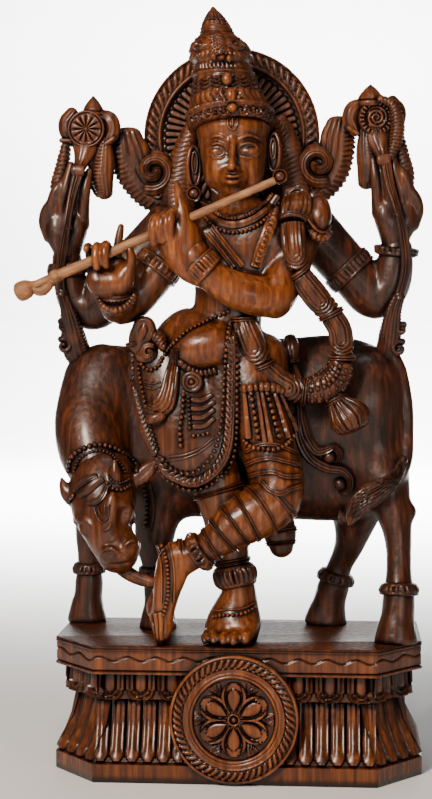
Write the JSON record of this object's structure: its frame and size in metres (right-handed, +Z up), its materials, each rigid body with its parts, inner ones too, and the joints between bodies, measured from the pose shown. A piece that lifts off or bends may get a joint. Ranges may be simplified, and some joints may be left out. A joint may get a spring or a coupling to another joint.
{
  "type": "krishna figure",
  "caption": "Carved dark wood group of a flute player with raised back arms, standing cross-legged before a cow on a lotus plinth with a wheel, and a separate pale flute.",
  "frame": {"origin": "middle of the plinth's underside", "axes": "+Z up, -Y to the front that the figure faces, +X to the figure's left, which is the viewer's right"},
  "size_m": [0.4777, 0.2188, 0.9112],
  "materials": {
    "stained_wood": "dark red-brown stain and wax polish, satin gloss, dark in the recesses",
    "pale_wood": "unstained wood, rubbed smooth, dull"
  },
  "bodies": {
    "root": {"carved_group": "stained_wood", "flute": "pale_wood"}
  },
  "joints": []
}
